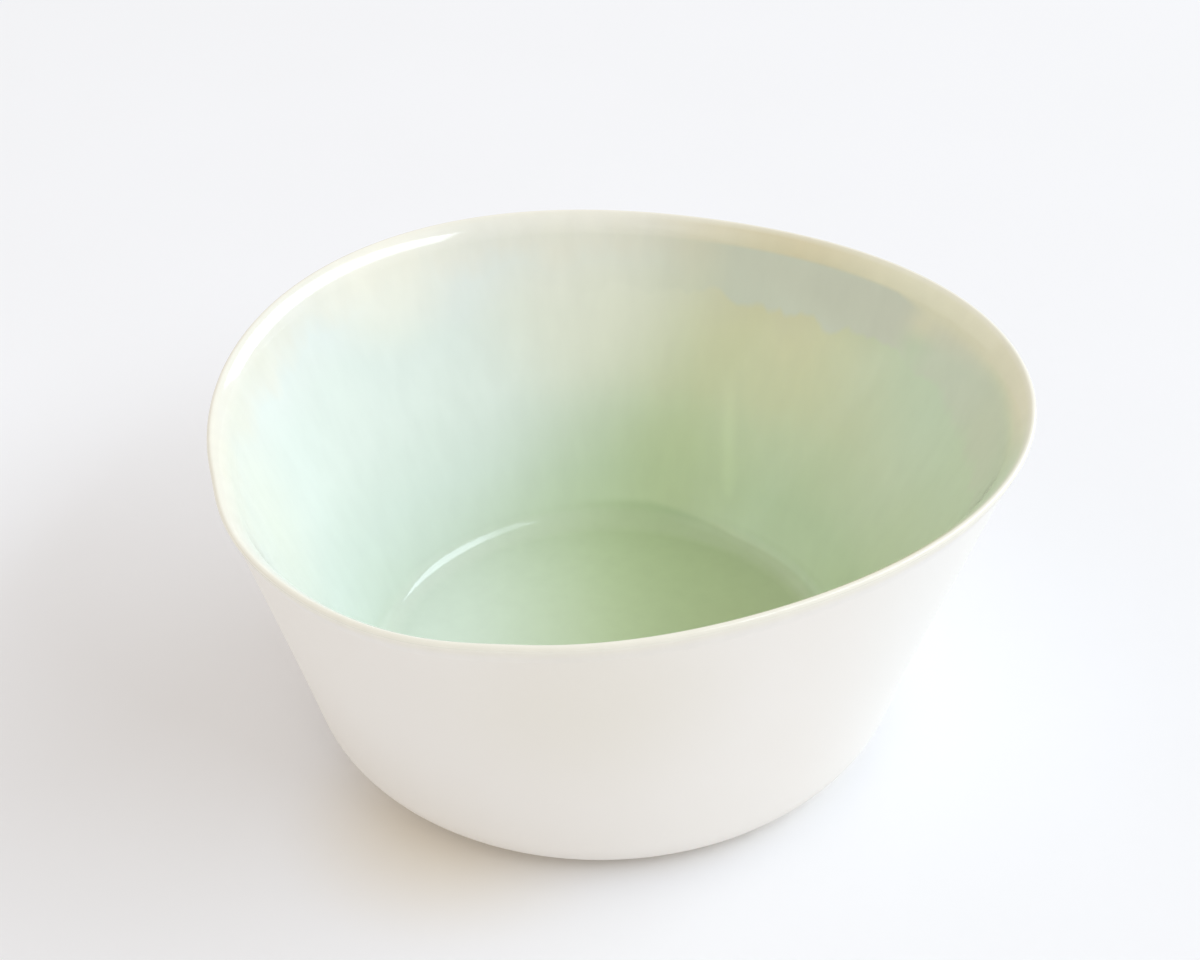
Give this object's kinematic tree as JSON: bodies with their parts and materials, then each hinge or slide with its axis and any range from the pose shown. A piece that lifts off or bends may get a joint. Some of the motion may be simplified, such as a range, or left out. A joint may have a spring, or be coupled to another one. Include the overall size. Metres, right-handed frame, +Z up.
{
  "type": "ceramic bowl",
  "caption": "Small porcelain bowl with a round foot, flared walls and a rim squeezed into a soft egg; bare outside, green glaze inside, cream glaze over the lip.",
  "frame": {"origin": "on the table plane, under the middle of the rim's length and width", "axes": "+Z up out of the bowl's mouth, +X toward the point of the egg-shaped rim, +Y across the rim"},
  "size_m": [0.144, 0.1322, 0.064],
  "materials": {
    "bare_porcelain": "matt, unglazed",
    "celadon_glaze": "gloss glaze, pale green",
    "cream_glaze": "gloss glaze, cream"
  },
  "bodies": {
    "root": {"porcelain_body": "bare_porcelain", "celadon_lining": "celadon_glaze", "lip_glaze": "cream_glaze"}
  },
  "joints": []
}
